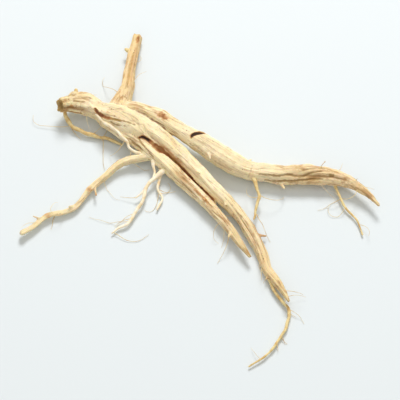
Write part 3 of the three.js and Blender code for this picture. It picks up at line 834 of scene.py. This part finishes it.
# one hair that leaves a branch sideways, curls and sinks to the ground
def growHair(rng, line, low, high, limit):
    form = hairForm
    at = int(rng.uniform(low, high) * (len(line["s"]) - 1))
    angle = rng.choice([-1, 1]) * rng.uniform(*form["turn"])
    out = line["side"][at] * math.sin(angle) + line["top"][at] * math.cos(angle)
    heading = out * rng.uniform(*form["outward"]) + line["along"][at] * rng.uniform(*form["forward"])
    heading /= np.linalg.norm(heading)
    length = rng.uniform(*form["length"])
    spot = line["centre"][at] + out * line["radius"][at] * form["startShare"]
    curl = rng.uniform(-form["curl"], form["curl"])
    points = [spot]
    for _ in range(int(length / form["spacing"]) + 2):
        curl = curl * form["curlKept"] + rng.normal(0, form["curlChange"])
        x, y, z = heading
        heading = np.array([x * math.cos(curl) - y * math.sin(curl),
                            x * math.sin(curl) + y * math.cos(curl),
                            z - form["droop"] + rng.normal(0, form["droopChange"])])
        heading /= np.linalg.norm(heading)
        spot = spot + heading * form["spacing"]
        if spot[2] < form["ground"]:
            spot[2] = form["ground"]
            heading[2] = abs(heading[2]) * form["bounce"]
        if (np.abs(spot[:2]) > limit).any():
            break
        points.append(spot)
    s = np.arange(len(points)) * form["spacing"]
    return hairTube(s, np.array(points), form["width"] / 2 * rng.uniform(*form["widthChange"]))


def buildHairs(lines):
    form = hairForm
    rng = np.random.default_rng(form["seed"])
    limit = np.array(cadBox[1][:2]) / mm + form["overhang"]
    tubes = []
    for route in drawnHairs:
        line = sampleRoute([(*stop, 1) for stop in route], form["spacing"], form["width"])
        tubes.append(hairTube(line["s"], line["centre"], line["radius"]))
    hosts = [(lines[branchNames.index(name)], *stretch) for name, stretch in form["branches"].items()]
    routes = {rootlet["name"]: rootlet["route"] for rootlet in rootlets}
    for name in form["rootlets"]:
        line = sampleRoute(routes[name], rootForm["tubeSpacing"], rootletForm["width"])
        hosts.append((line, *form["rootletStretch"]))
    for k in range(form["count"]):
        tubes.append(growHair(rng, *hosts[k % len(hosts)], limit))
    return joinPieces(tubes, "fineHairs")


# dried ginseng skin: matt and dry, cream with thin brown lines along it; its hollows, grooves and
# deepest cracks are darkened with painted shade
skinPatterns = [      # name, drawn out along the branch, size in mm, detail, roughness, distortion
    ("tone", False, 10.526, 3, 0.5, 0),
    ("blotch", False, 3.0303, 4, 0.6, 0),
    ("dots", False, 0.66667, 2, 0.5, 0),
    ("threads", True, 0.38462, 5, 0.65, 0),
    ("specks", True, 0.66667, 2, 0.5, 0),
    ("wrinkleWave", True, 1.8182, 2, 0.45, 0.3),      # a line wherever a wave has its middle value
    ("crackleWave", True, 0.58824, 2, 0.5, 0.5),
]
skinMasks = [         # name, made from, pattern value of none and of all
    ("stainPatch", "blotch", 0.4, 0.6),
    ("yellowPatch", "tone", 0.2, 0.7),
    ("linePatch", "blotch", 0.3, 0.6),
    ("speckPatch", "dots", 0.5, 0.6),
    ("wrinkleLine", "wrinkleGap", 0.05, 0.012),
    ("crackleLine", "crackleGap", 0.05, 0.015),
]
skinLayers = [        # pattern, value of none, value of all, most, broken up by, colour
    ("blotch", 0.5, 0.78, 0.4, None, "ebcb94"),
    ("threads", 0.5, 0.78, 0.35, None, "e0bf88"),
    ("tan", 0, 1, 0.7, None, "dfb57c"),
    ("yellow", 0, 1, 0.85, "yellowPatch", "dccb92"),
    ("crackleLine", 0, 1, 0.3, "linePatch", "bb8f58"),
    ("wrinkleLine", 0, 1, 0.6, "linePatch", "a06c38"),
    # painted shade in the wrinkles' grooves and the head's rings
    ("paintedGrooveShade", 0.3, 1, 0.7, None, "a8763e"),
    ("pale", 0, 1, 0.32, None, "fff0cc"),
    # painted shade in the hollows of the skin and at the forks
    ("hollow", 0.25, 1, 0.75, None, "8a5529"),
    ("specks", 0.64, 0.72, 0.8, "speckPatch", "7d4f2a"),
    ("longLine", 0, 0.9, 0.85, None, "9c7844"),
    ("scar", 0, 0.7, 0.8, None, "cf9254"),
    ("scar", 0.3, 0.9, 0.8, "stainPatch", "8f5429"),
    ("cut", 0, 0.4, 0.85, None, "b8975a"),
    ("cut", 0.45, 0.95, 0.6, None, "9c7436"),
    # tan and reddish brown of the split itself, and near-black painted shade where it is deepest
    ("crack", 0, 0.35, 0.9, None, "bd9656"),
    ("crack", 0.4, 0.65, 0.95, None, "a66840"),
    ("crack", 0.75, 0.95, 0.95, None, "2a190d"),
]
skinFinish = {
    "baseColors": ("f8e2b0", "fff0ca"), "baseRange": (0.35, 0.65),      # cream, mixed by the tone
    "alongScale": 0.07,        # patterns along a branch are 14 times longer than wide
    "bumps": {"dots": 0.4, "wrinkleLine": -0.8, "crackleLine": -0.35},      # against the threads
    "bumpStrength": 0.55, "bumpHeight": 0.2 * mm,
    "shader": {"Roughness": 0.78, "IOR": 1.45, "Specular IOR Level": 0.35,
               "Subsurface Weight": 0.25, "Subsurface Radius": (1.0, 0.5, 0.2),
               "Subsurface Scale": 1.0 * mm, "Sheen Weight": 0.08, "Sheen Roughness": 0.6},
}


def emptyMaterial(name):
    material = bpy.data.materials.new(name)
    material.use_nodes = True
    material.node_tree.nodes.clear()
    return material, material.node_tree


def driedSkinMaterial():
    form = skinFinish
    material, tree = emptyMaterial("driedRootSkin")
    place = addNode(tree, 'ShaderNodeTexCoord').outputs["Object"]
    grain = addNode(tree, 'ShaderNodeAttribute', {"attribute_name": "grain"}).outputs["Vector"]
    fibre = addNode(tree, 'ShaderNodeMapping', None, {"Scale": (form["alongScale"], 1, 1)},
                    {"Vector": grain}).outputs[0]

    values = {}
    for name, lengthwise, size, detail, roughness, distortion in skinPatterns:
        scale = 1 / size if lengthwise else 1 / (size * mm)      # the grain is stored in mm
        values[name] = addNode(tree, 'ShaderNodeTexNoise', None,
                               {"Scale": scale, "Detail": detail, "Roughness": roughness,
                                "Distortion": distortion},
                               {"Vector": fibre if lengthwise else place}).outputs["Fac"]
    for name in ("paintedGrooveShade", "hollow", "cut", "yellow", "tan", "pale", "longLine", "scar", "crack"):
        values[name] = addNode(tree, 'ShaderNodeAttribute', {"attribute_name": name}).outputs["Fac"]
    for name, wave in (("wrinkleGap", "wrinkleWave"), ("crackleGap", "crackleWave")):
        centred = addNode(tree, 'ShaderNodeMath', {"operation": 'SUBTRACT'}, {1: 0.5},
                          {0: values[wave]}).outputs[0]
        values[name] = addNode(tree, 'ShaderNodeMath', {"operation": 'ABSOLUTE'}, None,
                               {0: centred}).outputs[0]
    for name, source, none, full in skinMasks:
        values[name] = addNode(tree, 'ShaderNodeMapRange', None, {"From Min": none, "From Max": full},
                               {"Value": values[source]}).outputs[0]

    (none, full), (first, second) = form["baseRange"], form["baseColors"]
    baseMix = addNode(tree, 'ShaderNodeMapRange', None, {"From Min": none, "From Max": full},
                      {"Value": values["tone"]}).outputs[0]
    color = addNode(tree, 'ShaderNodeMix', {"data_type": 'RGBA'},
                    {6: hexColor(first), 7: hexColor(second)}, {0: baseMix}).outputs[2]
    for name, none, full, most, breaker, code in skinLayers:
        amount = addNode(tree, 'ShaderNodeMapRange', None,
                         {"From Min": none, "From Max": full, "To Max": most},
                         {"Value": values[name]}).outputs[0]
        if breaker:
            amount = addNode(tree, 'ShaderNodeMath', {"operation": 'MULTIPLY'}, None,
                             {0: amount, 1: values[breaker]}).outputs[0]
        color = addNode(tree, 'ShaderNodeMix', {"data_type": 'RGBA'}, {7: hexColor(code)},
                        {0: amount, 6: color}).outputs[2]

    height = values["threads"]
    for name, weight in form["bumps"].items():
        height = addNode(tree, 'ShaderNodeMath', {"operation": 'MULTIPLY_ADD'}, {1: weight},
                         {0: values[name], 2: height}).outputs[0]
    bump = addNode(tree, 'ShaderNodeBump', None,
                   {"Strength": form["bumpStrength"], "Distance": form["bumpHeight"]},
                   {"Height": height}).outputs[0]
    shader = addNode(tree, 'ShaderNodeBsdfPrincipled', None, form["shader"],
                     {"Base Color": color, "Normal": bump})
    addNode(tree, 'ShaderNodeOutputMaterial', None, None, {"Surface": shader.outputs[0]})
    return material


# dried skin of the rootlets and hairs: as matt and dry, but more even, with some darker patches
rootletFinish = {
    "patchSize": 2.381 * mm, "patchRange": (0.4, 0.72), "grainSize": 0.38462 * mm,
    "bumpStrength": 0.5, "bumpHeight": 0.12 * mm,
    "shader": {"Roughness": 0.8, "IOR": 1.45, "Specular IOR Level": 0.35,
               "Subsurface Weight": 0.1, "Subsurface Radius": (1.0, 0.6, 0.3),
               "Subsurface Scale": 0.5 * mm},
}


def rootletMaterial(name, base, dark):
    form = rootletFinish
    material, tree = emptyMaterial(name)
    place = addNode(tree, 'ShaderNodeTexCoord').outputs["Object"]
    patches = addNode(tree, 'ShaderNodeTexNoise', None, {"Scale": 1 / form["patchSize"], "Detail": 4},
                      {"Vector": place}).outputs["Fac"]
    ramp = addNode(tree, 'ShaderNodeValToRGB', None, None, {"Fac": patches})
    for stop, position, code in zip(ramp.color_ramp.elements, form["patchRange"], (base, dark)):
        stop.position = position
        stop.color = hexColor(code)
    grain = addNode(tree, 'ShaderNodeTexNoise', None, {"Scale": 1 / form["grainSize"], "Detail": 3},
                    {"Vector": place}).outputs["Fac"]
    bump = addNode(tree, 'ShaderNodeBump', None,
                   {"Strength": form["bumpStrength"], "Distance": form["bumpHeight"]},
                   {"Height": grain}).outputs[0]
    shader = addNode(tree, 'ShaderNodeBsdfPrincipled', None, form["shader"],
                     {"Base Color": ramp.outputs["Color"], "Normal": bump})
    addNode(tree, 'ShaderNodeOutputMaterial', None, None, {"Surface": shader.outputs[0]})
    return material


def finishPiece(piece, material):
    selectOnly(piece)
    bpy.ops.object.shade_smooth()
    piece.data.materials.clear()
    piece.data.materials.append(material)
    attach(piece, "root")
    print(piece.name + ":", len(piece.data.polygons), "faces")


# plain pale floor, soft daylight from behind the root, and the camera
studio = {
    "floorSize": 3.0,
    "floorColor": "dce3e7",
    "floorRoughness": 0.7,
    "skyColor": "fdf9f0",
    "skyStrength": 0.5,
    "lights": [      # name, place in m, size in m, power in W
        ("keySoftbox", (-0.55, 0.7, 1.05), 0.5, 14.0),
        ("topSoftbox", (0.2, 0.0, 1.5), 1.2, 3.0),
        ("frontFill", (0.5, -0.9, 0.7), 1.0, 1.2),
    ],
    "cameraPlace": (0.3339, -0.3253, 0.8605),
    "cameraAim": (0.0055, 0.0047, 0.0056),
    "cameraRoll": 0.5,      # degrees
    "lens": 212.0,          # mm, as the sensor
    "sensor": 36,
    "nearest": 0.01,        # m that the camera sees
}


def buildStudio():
    deselectAll()
    bpy.ops.mesh.primitive_plane_add(size=studio["floorSize"], location=(0, 0, 0))
    floor = bpy.context.object
    floor.name = "floor"
    material = bpy.data.materials.new("matteWhiteFloor")      # matt card: a soft shadow and no glare
    material.use_nodes = True
    shader = material.node_tree.nodes["Principled BSDF"]
    shader.inputs["Base Color"].default_value = hexColor(studio["floorColor"])
    shader.inputs["Roughness"].default_value = studio["floorRoughness"]
    floor.data.materials.append(material)

    world = bpy.data.worlds.new("softSky")
    world.use_nodes = True
    background = world.node_tree.nodes["Background"]
    background.inputs["Color"].default_value = hexColor(studio["skyColor"])
    background.inputs["Strength"].default_value = studio["skyStrength"]
    bpy.context.scene.world = world

    for name, place, size, power in studio["lights"]:
        bpy.ops.object.light_add(type='AREA', location=place)
        light = bpy.context.object
        light.name = name
        light.data.shape = 'DISK'
        light.data.size = size
        light.data.energy = power
        light.rotation_euler = (-Vector(place)).to_track_quat('-Z', 'Y').to_euler()

    bpy.ops.object.camera_add(location=studio["cameraPlace"])
    camera = bpy.context.object
    camera.name = "camera"
    view = Vector(studio["cameraAim"]) - Vector(studio["cameraPlace"])
    level = view.to_track_quat('-Z', 'Y').to_matrix()
    roll = Matrix.Rotation(math.radians(studio["cameraRoll"]), 3, 'Z')
    camera.rotation_euler = (level @ roll).to_euler()
    camera.data.lens = studio["lens"]
    camera.data.sensor_width = studio["sensor"]
    camera.data.clip_start = studio["nearest"]
    bpy.context.scene.camera = camera
    bpy.context.scene.view_settings.view_transform = 'Standard'
    print("studio: floor, lights and camera")


skin, lines = buildSkin()
finishPiece(skin, driedSkinMaterial())
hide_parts("ginseng_root")

ivoryRootlets = buildRootlets("ivory")
finishPiece(ivoryRootlets, rootletMaterial("paleRootlet", "fff4dc", "edd3a2"))
yellowRootlets = buildRootlets("yellow")
finishPiece(yellowRootlets, rootletMaterial("yellowRootlet", "ecd8a0", "c99f5c"))
hairs = buildHairs(lines)
finishPiece(hairs, rootletMaterial("fineHair", "f0deb2", "c8a26a"))

buildStudio()
